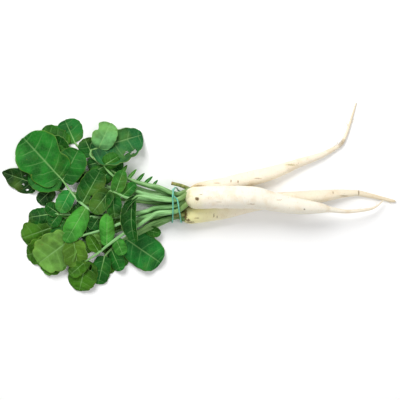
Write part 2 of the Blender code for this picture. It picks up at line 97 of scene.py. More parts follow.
def gridFaces(rows, cols, wrap=False, first=0):
    # quads of a rows x cols grid of points, the last column joined to the first when it wraps
    i = np.arange(rows - 1)[:, None]
    j = np.arange(cols if wrap else cols - 1)[None, :]
    k = (j + 1) % cols
    quads = np.stack([i * cols + j, i * cols + k, (i + 1) * cols + k, (i + 1) * cols + j], axis=-1)
    return quads.reshape(-1, 4) + first


def runAlong(path):
    # the length of the path up to each of its points
    return np.append(0, np.cumsum(np.linalg.norm(np.diff(path, axis=0), axis=1)))


def frameAlong(path):
    # at each point of the path: the unit vector along it, the level one across it, and the one square to both
    along = np.gradient(path, axis=0)
    along /= np.linalg.norm(along, axis=1)[:, None]
    across = np.cross((0, 0, 1.0), along)
    across /= np.linalg.norm(across, axis=1)[:, None]
    return along, across, np.cross(along, across)


def ringFaces(rows, sides):
    # the quads of a tube of rings, and a fan at each end to the two pole points that follow the rings
    j = np.arange(sides)
    k = (j + 1) % sides
    last = (rows - 1) * sides
    start = np.column_stack([k, j, np.full(sides, rows * sides)])
    end = np.column_stack([last + j, last + k, np.full(sides, rows * sides + 1)])
    return [gridFaces(rows, sides, wrap=True), np.vstack([start, end])]


def smoothRoute(points, count):
    # Catmull-Rom curve through the points, read at equal steps of its length in plan
    points = np.asarray(points, float)
    padded = np.vstack([2 * points[0] - points[1], points, 2 * points[-1] - points[-2]])
    t = np.linspace(0, len(points) - 1, 14 * len(points))
    i = np.minimum(t.astype(int), len(points) - 2)
    f = (t - i)[:, None]
    p0, p1, p2, p3 = (padded[i + k] for k in range(4))
    square = (2 * p0 - 5 * p1 + 4 * p2 - p3) * f ** 2
    cube = (3 * p1 - p0 - 3 * p2 + p3) * f ** 3
    fine = 0.5 * (2 * p1 + (p2 - p0) * f + square + cube)
    run = runAlong(fine[:, :2])
    at = np.linspace(0, run[-1], count)
    return np.column_stack([np.interp(at, run, column) for column in fine.T])


def sweep(path, radius, sides, groove=0.0, squash=1.0):
    # a closed tube: a ring of the given radius at each station, across = up x along; groove
    # hollows the upper side by that share of the radius, and both ends close on a pole
    _, across, upward = frameAlong(path)
    turn = 2 * np.pi * np.arange(sides) / sides
    hollow = np.asarray(groove).reshape(-1, 1) * np.exp(-((turn - np.pi / 2) / 0.55) ** 2)[None, :]
    reach = np.asarray(radius).reshape(-1, 1) * (1 - hollow)
    ring = across[:, None] * (reach * np.cos(turn))[..., None]
    ring = ring + upward[:, None] * (reach * np.sin(turn) * squash)[..., None]
    points = (path[:, None] + ring).reshape(-1, 3)
    return np.vstack([points, path[0], path[-1]]), ringFaces(len(path), sides)


def joinParts(parts):
    # several (points, face blocks, marks) as one set of arrays
    points, quads, triangles, marks = [], [], [], []
    first = 0
    for partPoints, blocks, partMarks in parts:
        points.append(partPoints)
        marks.append(partMarks)
        for block in blocks:
            (quads if block.shape[1] == 4 else triangles).append(block + first)
        first += len(partPoints)
    blocks = [np.vstack(group) for group in (quads, triangles) if group]
    return np.vstack(points), blocks, np.vstack(marks)


# heights from the frame
def nodePoints(name):
    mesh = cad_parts[name].data
    points = np.empty(len(mesh.vertices) * 3)
    mesh.vertices.foreach_get("co", points)
    return points.reshape(-1, 3)


def nodeMiddle(name):
    # the plan points of a CAD node and, at each, the middle between its top and its underside
    points = nodePoints(name)
    plan, which = np.unique(np.round(points[:, :2], 5), axis=0, return_inverse=True)
    which = which.ravel()
    top = np.full(len(plan), -1.0)
    low = np.full(len(plan), 1.0)
    np.maximum.at(top, which, points[:, 2])
    np.minimum.at(low, which, points[:, 2])
    return np.column_stack([plan, (top + low) / 2])


def heightAt(plan, known, soft=4 * mm):
    # mean of the known heights, each weighted by 1 / (distance squared + soft squared) squared
    flat = plan.reshape(-1, 2)
    square = ((flat[:, None] - known[None, :, :2]) ** 2).sum(axis=2)
    weight = 1 / (square + soft ** 2) ** 2
    return ((weight @ known[:, 2]) / weight.sum(axis=1)).reshape(plan.shape[:-1])


def ripple(plan, size, seed):
    # a smooth bumpy field: a few sine waves crossing at fixed angles, from -1 to 1
    turn = np.array((0.3, 1.5, 2.6)) + seed
    phase = seed * np.array((1.7, 4.1, 2.9))
    total = 0
    for angle, shift in zip(turn, phase):
        along = plan[..., 0] * np.cos(angle) + plan[..., 1] * np.sin(angle)
        total = total + np.sin(along * 2 * np.pi / size + shift)
    return total / 3


# leaf blades
stalkForm = dict(buried=2.5, stations=48, sides=12, radii=(4.0, 3.8, 3.6, 2.9, 1.4, 0.6, 0.2))
bladeGrid = dict(rows=46, cols=31)
bladeForm = dict(
    thick=0.5 * mm, quilt=1.1 * mm, groove=0.8 * mm, grooveWidth=1.6 * mm, ribSunk=0.25 * mm,
    lowest=0.5 * mm, fewVeins=5, manyVeins=7, longBlade=45 * mm, fullQuilt=55 * mm,
    bumps=((0.5 * mm, 17 * mm), (0.22 * mm, 6 * mm)),              # height and size
)
bladeUsual = dict(      # for a blade of leafCuts that doesn't say otherwise
    bow=0, belly=0.92, back=0.05, lean=0, point=0, teeth=7, bite=0.05, ruffle=0.07, waves=2.2,
    lift=0.0, notches=(), holes=(),
)
ribForm = dict(sides=7, shares=(0, 0.2, 1), radii=(1.05, 0.6, 0.18))


def bladeSurface(base, tip, known, cut, seed):
    # Rows run from the midrib out to the margin, leaning toward the tip as side veins do.
    # Margin: an ellipse of the blade's length and width, pushed back beside the stalk (back),
    # cut in by notches, and toothed. Height: that of the frame, plus a cup bent across the
    # midrib, a tilt about it, a ruffle that grows toward the margin, and a quilting that
    # rises between side veins and sinks at the midrib.
    rows, cols = bladeGrid["rows"], bladeGrid["cols"]
    length = np.linalg.norm(tip - base)
    axis = (tip - base) / length
    left = np.array((-axis[1], axis[0]))
    wide = cut["width"] * mm / 2
    t = np.linspace(0.02, 0.992, rows)
    share = (1 - np.cos(np.pi * t)) / 2
    bow = cut["bow"] * length * np.sin(np.pi * share)
    ribAlong = length * share ** 1.65
    ribAcross = bow * (ribAlong / length)
    v = np.linspace(-1, 1, cols)
    v = np.sign(v) * np.abs(v) ** 0.9
    side = np.where(v < 0, -1, 1)
    veins = cut.get("veins", bladeForm["fewVeins" if length < bladeForm["longBlade"] else "manyVeins"])
    edge = np.empty((rows, 2, 2))
    for number, hand in enumerate((-1, 1)):
        scale = np.ones(rows)
        for at, which, depth, spread in cut["notches"]:
            if which == hand:
                scale = scale - depth * np.exp(-((t - at) / spread) ** 2)
        wave = np.abs(np.sin(np.pi * (cut["teeth"] * t + 0.17 * hand + seed)))
        scale = scale * (1 + cut["bite"] * (wave - 0.6) + 0.03 * np.sin(9 * t + 2.1 * seed * hand))
        outAlong = length * share ** cut["belly"]
        outAlong = outAlong - cut["back"] * length * np.exp(-((t - 0.24) / 0.14) ** 2)
        reach = wide * (1 + hand * cut["lean"]) * (1 - cut["point"] * share ** 2)
        outAcross = hand * reach * np.sin(np.pi * t) ** 0.78 + bow
        edge[:, number, 0] = ribAlong + (outAlong - ribAlong) * scale
        edge[:, number, 1] = ribAcross + (outAcross - ribAcross) * scale
    run = edge[:, (side > 0).astype(int)] - np.stack([ribAlong, ribAcross], axis=-1)[:, None]
    width = np.linalg.norm(run, axis=-1)
    unit = run / width[..., None]

    cup = cut["cup"]
    tilt = cut["tilt"] * np.sin(np.pi * np.minimum(share * 1.4, 0.5))[:, None]
    bend = np.abs(v) * abs(cup) + 1e-6
    flat = width * np.sin(bend) / (abs(cup) + 1e-6)
    rise = np.sign(cup) * width * (1 - np.cos(bend)) / (abs(cup) + 1e-6)
    inPlane = flat * np.cos(tilt) + side * rise * np.sin(tilt) * -1
    upward = side * flat * np.sin(tilt) + rise * np.cos(tilt)
    local = np.stack([ribAlong, ribAcross], axis=-1)[:, None] + unit * inPlane[..., None]
    local[..., 0] -= 0.10 * length * np.sin(np.pi * share)[:, None] * np.abs(v) * (1 - np.abs(v))
    plan = base + local[..., :1] * axis + local[..., 1:] * left

    size = min(1.0, length / bladeForm["fullQuilt"])
    ruffle = cut["ruffle"] * width.max() * np.abs(v) ** 2
    wavy = np.sin(2 * np.pi * (cut["waves"] * t[:, None] + 0.23 * side + seed))
    between = np.abs(np.sin(np.pi * veins * t))[:, None] ** 0.8
    quilt = bladeForm["quilt"] * size * between * np.abs(v) ** 0.4 * (1 - np.abs(v) ** 5)
    groove = bladeForm["groove"] * size * np.exp(-(np.abs(v) * width / bladeForm["grooveWidth"]) ** 2)
    lift = cut["lift"] * mm * np.sin(np.pi * np.minimum(share * 1.2, 0.5))[:, None]
    height = heightAt(plan, known) * 0.5 + heightAt(plan[:, cols // 2:cols // 2 + 1], known) * 0.5
    height = height + upward + ruffle * wavy + quilt - groove + lift
    for number, (depth, across) in enumerate(bladeForm["bumps"]):
        height = height + depth * ripple(plan, across, seed + number)
    points = np.concatenate([plan, height[..., None]], axis=-1)
    points[..., 2] = np.maximum(points[..., 2], bladeForm["lowest"])
    marks = np.stack([np.broadcast_to(t[:, None] * veins, height.shape),
                      np.broadcast_to(v, height.shape), np.full(height.shape, seed % 1)], axis=-1)
    return points, marks, t


def bladePart(points, marks, holes, t):
    # the blade's quads, without those inside a hole given as (along, across, radius)
    rows, cols = points.shape[:2]
    faces = gridFaces(rows, cols)[:, ::-1]
    v = np.linspace(-1, 1, cols)
    middle = np.meshgrid((t[1:] + t[:-1]) / 2, (v[1:] + v[:-1]) / 2, indexing="ij")
    middle = np.stack(middle, axis=-1).reshape(-1, 2)
    keep = np.ones(len(faces), bool)
    for along, across, radius in holes:
        offset = (middle - (along, across)) * (1, 0.5)
        keep &= np.hypot(*offset.T) > radius * (1 + 0.25 * np.sin(3 * np.arctan2(*offset.T)))
    return points.reshape(-1, 3), [faces[keep]], marks.reshape(-1, 3)


def buildLeaf(name, cut):
    group = name.split("_")[0]
    known = nodeMiddle(name)
    crown = np.array(rootRoutes[group + "_root"][0][:2])
    foot = crown + (stalkForm["buried"], cut["base"])
    slot = (0, columns["middle"] + cut["column"] * columns["width"])
    route = np.array([foot, slot] + list(cut["stalk"]), float) * mm + planOrigin
    path = smoothRoute(route, stalkForm["stations"])
    path = np.column_stack([path, smoothed(heightAt(path, known, 3.5 * mm), 2)])
    stalkEnd = path[-1, :2]

    blades = []
    ribs = []
    for number, blade in enumerate(cut["blades"]):
        seed = float(chance.uniform(0, 6))
        cup = float(chance.uniform(-0.75, 0.75))
        tilt = float(chance.uniform(-0.3, 0.3))
        chosen = {**bladeUsual, "tone": cut["tone"], "cup": cup, "tilt": tilt, **blade}
        chosen["width"] *= cut.get("spread", 1)
        base = stalkEnd if number == 0 else np.array(blade["root"]) * mm + planOrigin
        tip = np.array(blade["tip"]) * mm + planOrigin
        points, marks, t = bladeSurface(base, tip, known, chosen, seed)
        blades.append((chosen["tone"], bladePart(points, marks, chosen["holes"], t)))
        rib = points[:, points.shape[1] // 2].copy()
        rib[:, 2] -= bladeForm["ribSunk"]
        if number:
            nearest = np.linalg.norm(path[:, :2] - base, axis=1).argmin()
            rib = np.vstack([path[nearest], rib])
        ribs.append(rib)

    whole = np.vstack([path, ribs[0][2:-1]])
    reach = runAlong(whole)
    stalkLength = reach[len(path) - 1]
    slim = min(70 * mm, stalkLength * 0.6)
    stops = (0, 6 * mm, 16 * mm, slim, stalkLength, stalkLength + 16 * mm, reach[-1])
    radius = np.interp(reach, stops, np.array(stalkForm["radii"]) * mm)
    groove = np.interp(reach, (0, 12 * mm, stalkLength, reach[-1]), (0.0, 0.34, 0.22, 0.0))
    tubes = []
    points, faces = sweep(whole, radius, stalkForm["sides"], groove, 0.92)
    tubes.append((points, faces, tubeMarks(reach, stalkForm["sides"], stalkLength)))
    for rib in ribs[1:]:
        rib = rib[:-1]
        reachRib = runAlong(rib)
        thin = np.interp(reachRib / reachRib[-1], ribForm["shares"], np.array(ribForm["radii"]) * mm)
        points, faces = sweep(rib, thin, ribForm["sides"])
        tubes.append((points, faces, tubeMarks(reachRib + stalkLength, ribForm["sides"], stalkLength)))
    points, faces, marks = joinParts(tubes)
    stalk = makePiece(name + "_stalk", points, faces, dict(stalkPlace=marks))
    stalk.data.materials.append(finishes["stalk_" + group])
    finishPiece(stalk, name)

    for tone in sorted({tone for tone, _ in blades}):
        points, faces, marks = joinParts([part for own, part in blades if own == tone])
        piece = makePiece(f"{name}_{tone}_blades", points, faces, dict(leafPlace=marks))
        piece.data.materials.append(finishes[tone])
        piece.data.materials.append(finishes[tone + "Under"])
        solid = piece.modifiers.new("thickness", "SOLIDIFY")
        solid.thickness = bladeForm["thick"]
        solid.offset = -1
        solid.material_offset = 1
        solid.material_offset_rim = 1
        finishPiece(piece, name)


def tubeMarks(reach, sides, stalkLength):
    # distance from the crown, angle round the tube, and 0 on the stalk to 1 on the midrib
    turn = np.arange(sides) / sides
    far = np.clip((reach - stalkLength * 0.8) / (0.2 * stalkLength), 0, 1)
    grid = np.stack(np.broadcast_arrays(reach[:, None], turn[None, :], far[:, None]), axis=-1).reshape(-1, 3)
    return np.vstack([grid, (reach[0], 0, far[0]), (reach[-1], 0, far[-1])])


def finishPiece(piece, node):
    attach(piece, "root")
    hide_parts(node)


# roots
rootForm = dict(
    stations=230, sides=72, dome=1.6 * mm,
    shoulder=((0, 1.5, 5, 11), (0.62, 0.80, 0.93, 1.0)),        # mm from the crown, share of the radius
    creases=40, creaseDepth=(0.001, 0.005), creaseWidth=1.6 * mm, creaseArc=(0.2, 0.55),
)
rootRoutes = {      # x, y and radius in mm of the middle line, from the crown to the tip
    "upper_root": (
        (18, 15, 8.8), (27, 18, 10.6), (37, 21, 11.8), (48, 23, 12), (72, 28, 12), (102, 36, 11.4),
        (141, 46, 10), (182, 61, 6.6), (214, 72, 4.6), (234, 82, 3.2), (246, 90, 2.6), (254, 105, 2.2),
        (261, 126, 1.6), (269, 152, 0.8),
    ),
    "lower_root": (
        (10, -16, 13.6), (16, -16, 14), (34, -14, 13.8), (70, -9, 13.4), (94, -3, 13), (118, 2, 12.4),
        (141, 5, 11.8), (166, 7, 11.2), (189, 9, 10.6), (213, 11, 9.6), (228, 13, 8.2), (244, 15, 6.6),
        (261, 16, 5), (272, 16, 4.4), (292, 12, 3.4), (309, 8, 2.8), (321, 5, 2.4), (328, 4, 1.6),
    ),
    "front_root": (
        (14, 8, 13.4), (22, 9, 15.6), (34, 9, 16.6), (57, 10, 16.8), (94, 10, 16.8), (118, 9, 16),
        (141, 4, 14), (165, -1, 12.6), (189, -4, 10.8), (213, -6, 7.4), (228, -8, 4.4), (249, -11, 3),
        (271, -10, 2.4), (290, -7, 1.8), (300, -2, 1.2), (309, 6, 0.8),
    ),
}


def buildRoot(name, seed):
    # Rings along the middle line. Each ring's radius is the profile's, times a shoulder that
    # rounds over at the crown, times a few per cent of slow waves round and along the root,
    # less the creases that cross it part of the way round.
    known = nodeMiddle(name)
    path = smoothRoute(np.array(rootRoutes[name]) * mm + np.append(planOrigin, 0), rootForm["stations"])
    radius = path[:, 2].copy()
    path[:, 2] = smoothed(heightAt(path[:, :2], known, 12 * mm), 12)
    reach = runAlong(path)
    radius *= np.interp(reach / mm, *rootForm["shoulder"])
    tail = np.clip((reach[-1] - reach) / (1.2 * mm), 0, 1)
    radius *= np.sqrt(1 - (1 - tail) ** 2) * 0.9 + 0.1
    dome = np.array((0.02, 0.3, 0.62, 0.86))
    lead = (path[1] - path[0]) / np.linalg.norm(path[1] - path[0])
    cap = path[0] - lead * rootForm["dome"] * (1 - dome[:, None] ** 2)
    path = np.vstack([cap, path])
    radius = np.append(radius[0] * dome, radius)
    reach = np.append(np.zeros(len(dome)), reach)

    along, across, upward = frameAlong(path)
    turn = 2 * np.pi * np.arange(rootForm["sides"]) / rootForm["sides"]
    far = reach[:, None]
    wave = 0.014 * np.sin(2 * turn + seed + far * 9) + 0.010 * np.sin(3 * turn - seed + far * 23)
    wave = wave + 0.009 * np.sin(far * 95 + seed) * np.sin(turn + far * 31)
    wave = wave + 0.006 * np.sin(far * 260 + 2 * turn)
    crease = 0
    for _ in range(rootForm["creases"]):
        at, middle = chance.uniform(0.015, reach[-1] * 0.8), chance.uniform(0, 2 * np.pi)
        apart = np.abs((turn - middle + np.pi) % (2 * np.pi) - np.pi)
        arc = np.exp(-(apart / chance.uniform(*rootForm["creaseArc"])) ** 4)
        band = np.exp(-((far - at) / rootForm["creaseWidth"]) ** 2)
        crease = crease + chance.uniform(*rootForm["creaseDepth"]) * band * arc
    ring = radius[:, None] * (1 + wave - crease)
    points = path[:, None] + across[:, None] * (ring * np.cos(turn))[..., None]
    points = points + upward[:, None] * (ring * np.sin(turn))[..., None]
    points[..., 2] = np.maximum(points[..., 2], 0)
    share = reach / reach[-1]
    marks = np.stack(np.broadcast_arrays(far, turn / (2 * np.pi), share[:, None]), axis=-1)

    points = np.vstack([points.reshape(-1, 3), cap[0], path[-1] + along[-1] * 0.2 * mm])
    marks = np.vstack([marks.reshape(-1, 3), (0, 0, 0), (reach[-1], 0, 1)])
    piece = makePiece(name + "_skin", points, ringFaces(*ring.shape), dict(rootPlace=marks))
    piece.data.materials.append(finishes[name])
    finishPiece(piece, name)
    buildRootlets(name, path, radius, reach)


rootletForm = dict(count=9, starts=0.62, ends=0.985, length=(3.0, 9.0), radius=(0.28, 0.09), sides=6)


def buildRootlets(name, path, radius, reach):
    # thin side rootlets along the tail: short tubes that leave sideways and droop to the tip's height
    tubes = []
    tail = (reach[-1] * rootletForm["starts"], reach[-1] * rootletForm["ends"])
    for _ in range(rootletForm["count"]):
        at = np.interp(chance.uniform(*tail), reach, np.arange(len(reach)))
        i = min(int(at), len(path) - 2)
        step = (path[i + 1] - path[i]) / np.linalg.norm(path[i + 1] - path[i])
        hand = chance.choice((-1, 1))
        out = hand * np.array((-step[1], step[0], 0))
        size = chance.uniform(*rootletForm["length"]) * mm
        t = np.linspace(0, 1, 9)[:, None]
        bend = chance.uniform(-0.3, 0.5)
        line = path[i] + out * (radius[i] * 0.5 + size * t * 0.62)
        line = line + step * size * (0.75 * t + bend * t ** 2 * 0.5)
        line[:, 2] = line[:, 2] - np.minimum(size * 0.4 * t[:, 0] ** 2, line[0, 2] - 0.5 * mm)
        thin = np.interp(t[:, 0], (0, 1), rootletForm["radius"]) * mm
        points, faces = sweep(line, thin, rootletForm["sides"])
        tubes.append((points, faces, np.full((len(points), 3), (reach[i], 0.3, 1.0))))
    points, faces, marks = joinParts(tubes)
    piece = makePiece(name + "_rootlets", points, faces, dict(rootPlace=marks))
    piece.data.materials.append(finishes[name])
    finishPiece(piece, name)


def smoothed(values, width):
    # running mean that keeps both end values
    padded = np.concatenate([np.full(width, values[0]), values, np.full(width, values[-1])])
    return np.convolve(padded, np.ones(2 * width + 1) / (2 * width + 1), mode="valid")


# cut stalks and the band
stubRoutes = {
    "upper_stalk_stub": dict(
        route=((19, 21.5), (16, 23.5), (6, 27.6), (-8, 31)), radius=(3.0, 2.7, 2.5, 2.4)),
    "lower_stalk_stub": dict(
        route=((12, -14.6), (8.6, -15), (2, -16), (-7, -17.5)), radius=(3.5, 3.2, 3.0, 2.8)),
}

stubForm = dict(
    stations=26, sides=16, ridge=0.05,
    cutReach=(0.3, 0.9, 1.8), cutRadius=(0.97, 0.72, 0.3),         # the three rings of the cut face
    cutStep=(0.06, 0.09, 0.0), cutHollow=0.12,
)
bandRounding = 2


def buildStub(name):
    # a tube with flattened ridges that ends in a flat cut, drawn in a little at the middle
    form = stubRoutes[name]
    path = smoothRoute(np.array(form["route"]) * mm + planOrigin, stubForm["stations"])
    path = np.column_stack([path, heightAt(path, nodeMiddle(name), 2.5 * mm)])
    _, across, upward = (np.vstack([part, np.repeat(part[-1:], 3, axis=0)]) for part in frameAlong(path))
    reach = runAlong(path)
    radius = np.interp(reach / reach[-1], (0, 0.3, 0.6, 1), np.array(form["radius"]) * mm)
    hollow = path[-1] - (path[-1] - path[-3]) * stubForm["cutHollow"]
    path = np.vstack([path, path[-1], path[-1], hollow])
    path[-3:] += (path[-4] - path[-5]) * np.array(stubForm["cutStep"])[:, None]
    radius = np.append(radius, radius[-1] * np.array(stubForm["cutRadius"]))
    reach = np.append(reach, reach[-1] + np.array(stubForm["cutReach"]) * mm)
    turn = np.arange(stubForm["sides"]) / stubForm["sides"] * 2 * np.pi
    ring = radius[:, None] * (1 + stubForm["ridge"] * np.sin(4 * turn + 1.3))
    points = path[:, None] + across[:, None] * (ring * np.cos(turn))[..., None]
    points = points + upward[:, None] * (ring * np.sin(turn))[..., None]
    points = np.vstack([points.reshape(-1, 3), path[0], path[-1]])
    left = reach[-1] - reach
    marks = np.stack(np.broadcast_arrays(left[:, None], turn / (2 * np.pi), 0.0), axis=-1).reshape(-1, 3)
    marks = np.vstack([marks, (left[0], 0, 0), (0, 0, 0)])
    piece = makePiece(name + "_skin", points, ringFaces(*ring.shape), dict(stubPlace=marks))
    piece.data.materials.append(finishes["cutStalk"])
    finishPiece(piece, name)


def buildBand():
    # the band's own loop of rings, its loose triangles joined and rounded once more
    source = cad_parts["tie_band"].data
    points = nodePoints("tie_band")
    whole, which = np.unique(np.round(points, 6), axis=0, return_inverse=True)
    which = which.ravel()
    corners = np.empty(len(source.loops), np.int32)
    source.loops.foreach_get("vertex_index", corners)
    faces = which[corners].reshape(-1, 3)
    piece = makePiece("tie_band_rubber", whole, [faces])
    rounding = piece.modifiers.new("round", "SUBSURF")
    rounding.levels = rounding.render_levels = bandRounding
    piece.data.materials.append(finishes["band"])
    finishPiece(piece, "tie_band")


# finishes
def newFinish(name, roughness, specular=0.4):
    material = bpy.data.materials.new(name)
    material.use_nodes = True
    shader = material.node_tree.nodes["Principled BSDF"]
    shader.inputs["Roughness"].default_value = roughness
    shader.inputs["Specular IOR Level"].default_value = specular
    finishes[name] = material
    return material.node_tree, shader


def addNode(tree, kind, links=None, **settings):
    # links gives each input either another node's output or a plain value
    node = tree.nodes.new(kind)
    for key, value in settings.items():
        setattr(node, key, value)
    for socket, value in (links or {}).items():
        if isinstance(value, bpy.types.NodeSocket):
            tree.links.new(value, node.inputs[socket])
        else:
            node.inputs[socket].default_value = value
    return node


def maths(tree, operation, *values, clamp=False):
    node = addNode(tree, "ShaderNodeMath", dict(enumerate(values)), operation=operation, use_clamp=clamp)
    return node.outputs[0]


def remap(tree, value, low, high, start=0.0, end=1.0):
    # a smooth step from start to end as value goes from low to high
    node = addNode(tree, "ShaderNodeMapRange", {0: value, 1: low, 2: high, 3: start, 4: end},
                   interpolation_type="SMOOTHSTEP")
    return node.outputs[0]


def blendColour(tree, share, first, second, kind="MIX"):
    node = addNode(tree, "ShaderNodeMix", {0: share}, data_type="RGBA", blend_type=kind)
    for socket, value in ((6, first), (7, second)):
        if isinstance(value, bpy.types.NodeSocket):
            tree.links.new(value, node.inputs[socket])
        else:
            node.inputs[socket].default_value = (*value, 1)
    return node.outputs[2]


def noise(tree, where, scale, detail=3.0):
    links = {"Vector": where, "Scale": scale, "Detail": detail, "Roughness": 0.55}
    return addNode(tree, "ShaderNodeTexNoise", links).outputs[0]


def gapToWhole(tree, value):
    # how far the value is from the nearest whole number
    part = maths(tree, "FRACT", maths(tree, "ADD", value, 0.5))
    return maths(tree, "ABSOLUTE", maths(tree, "SUBTRACT", part, 0.5))


def netOf(tree, where):
    # the net of the finest veins: the distance to the nearest edge between irregular cells
    links = {"Vector": where, "Scale": 240.0}
    return addNode(tree, "ShaderNodeTexVoronoi", links, feature="DISTANCE_TO_EDGE").outputs["Distance"]


def placeOf(tree, label):
    # the three numbers of a vertex attribute
    source = addNode(tree, "ShaderNodeAttribute", attribute_name=label)
    parts = addNode(tree, "ShaderNodeSeparateXYZ", {0: source.outputs["Vector"]})
    return source.outputs["Vector"], parts.outputs[0], parts.outputs[1], parts.outputs[2]


def objectPlace(tree):
    return addNode(tree, "ShaderNodeTexCoord").outputs["Object"]


def addBump(tree, shader, height, strength, distance):
    node = addNode(tree, "ShaderNodeBump", {"Height": height, "Strength": strength, "Distance": distance})
    tree.links.new(node.outputs[0], shader.inputs["Normal"])


def scaled(tone, factor):
    return tuple(min(1.0, channel * factor) for channel in tone)


def leafFinish(name, tone, vein, yellow):
    # side veins where the first mark is whole, the midrib where the second is 0
    tree, shader = newFinish(name, 0.5, 0.1)
    where = objectPlace(tree)
    _, count, across, seed = placeOf(tree, "leafPlace")
    out = maths(tree, "ABSOLUTE", across)
    early = maths(tree, "SUBTRACT", count, 0.08)
    wander = maths(tree, "MULTIPLY_ADD", noise(tree, where, 120, 2), 0.16, early)
    gap = gapToWhole(tree, wander)
    sideVein = remap(tree, gap, 0.062, 0.012)
    sideVein = maths(tree, "MULTIPLY", sideVein, remap(tree, out, 0.97, 0.55))
    rib = remap(tree, out, 0.06, 0.02)
    fine = remap(tree, netOf(tree, where), 0.09, 0.0)
    patch = remap(tree, noise(tree, where, 46, 4), 0.34, 0.68)
    colour = blendColour(tree, patch, scaled(tone, 0.58), scaled(tone, 1.24))
    colour = blendColour(tree, remap(tree, noise(tree, where, 17, 3), 0.5, 0.75, 0, 0.34), colour, yellow)
    colour = blendColour(tree, maths(tree, "MULTIPLY", fine, 0.12), colour, vein)
    halo = remap(tree, gap, 0.26, 0.06, 0, 0.15)
    colour = blendColour(tree, halo, colour, scaled(tone, 1.55))
    colour = blendColour(tree, maths(tree, "MULTIPLY", sideVein, 0.33), colour, vein)
    colour = blendColour(tree, maths(tree, "MULTIPLY", rib, 0.5), colour, vein)
    margin = maths(tree, "MULTIPLY", remap(tree, out, 0.93, 1.0), 0.35)
    colour = blendColour(tree, margin, colour, yellow)
    shift = maths(tree, "MULTIPLY_ADD", seed, 0.26, 0.87)
    tint = addNode(tree, "ShaderNodeHueSaturation", {"Value": shift, "Color": colour})
    speck = remap(tree, noise(tree, where, 300, 2), 0.735, 0.77)
    colour = blendColour(tree, speck, tint.outputs[0], shade(133, 118, 62))
    tree.links.new(colour, shader.inputs["Base Color"])
    dull = maths(tree, "MULTIPLY_ADD", noise(tree, where, 90, 3), 0.30, 0.36)
    tree.links.new(dull, shader.inputs["Roughness"])
    height = maths(tree, "ADD", maths(tree, "MULTIPLY", sideVein, -0.9), maths(tree, "MULTIPLY", fine, -0.45))
    height = maths(tree, "MULTIPLY_ADD", noise(tree, where, 420, 3), 0.5, height)
    addBump(tree, shader, height, 0.55, 0.5 * mm)

    tree, shader = newFinish(name + "Under", 0.72, 0.2)       # paler and matt, with raised veins
    where = objectPlace(tree)
    _, count, across, _ = placeOf(tree, "leafPlace")
    out = maths(tree, "ABSOLUTE", across)
    gap = gapToWhole(tree, count)
    sideVein = maths(tree, "MULTIPLY", remap(tree, gap, 0.09, 0.02), remap(tree, out, 1.0, 0.7))
    fine = remap(tree, netOf(tree, where), 0.12, 0.0)
    dull = tuple(0.45 * a + 0.55 * b for a, b in zip(tone, shade(134, 172, 112)))
    patch = remap(tree, noise(tree, where, 50), 0.3, 0.7)
    colour = blendColour(tree, patch, scaled(dull, 0.85), scaled(dull, 1.12))
    colour = blendColour(tree, maths(tree, "MULTIPLY", fine, 0.3), colour, shade(172, 202, 142))
    colour = blendColour(tree, maths(tree, "MULTIPLY", sideVein, 0.7), colour, shade(182, 208, 150))
    tree.links.new(colour, shader.inputs["Base Color"])
    addBump(tree, shader, maths(tree, "ADD", sideVein, maths(tree, "MULTIPLY", fine, 0.5)), 0.6, 0.4 * mm)


def stalkFinish(name, low, high, rib):
    # lengthwise streaks, darker near the crown, paling into the midrib
    tree, shader = newFinish(name, 0.42, 0.42)
    where = objectPlace(tree)
    _, reach, turned, far = placeOf(tree, "stalkPlace")
    streakPlace = addNode(tree, "ShaderNodeCombineXYZ", {0: maths(tree, "MULTIPLY", reach, 22.0),
                                                         1: maths(tree, "MULTIPLY", turned, 7.0), 2: 0.0})
    streak = noise(tree, streakPlace.outputs[0], 2.4, 4)
    colour = blendColour(tree, remap(tree, streak, 0.32, 0.7), scaled(low, 0.82), high)
    base = remap(tree, reach, 0.030, 0.004)
    colour = blendColour(tree, maths(tree, "MULTIPLY", base, 0.85), colour, shade(112, 138, 68))
    patch = remap(tree, noise(tree, where, 60), 0.56, 0.75, 0, 0.5)
    colour = blendColour(tree, patch, colour, shade(96, 146, 80))
    colour = blendColour(tree, maths(tree, "MULTIPLY", far, 0.85), colour, rib)
    mark = remap(tree, noise(tree, where, 240, 2), 0.73, 0.77)
    colour = blendColour(tree, mark, colour, shade(120, 112, 62))
    tree.links.new(colour, shader.inputs["Base Color"])
    grain = maths(tree, "MULTIPLY", noise(tree, where, 700, 2), 0.4)
    addBump(tree, shader, maths(tree, "ADD", streak, grain), 0.5, 0.35 * mm)


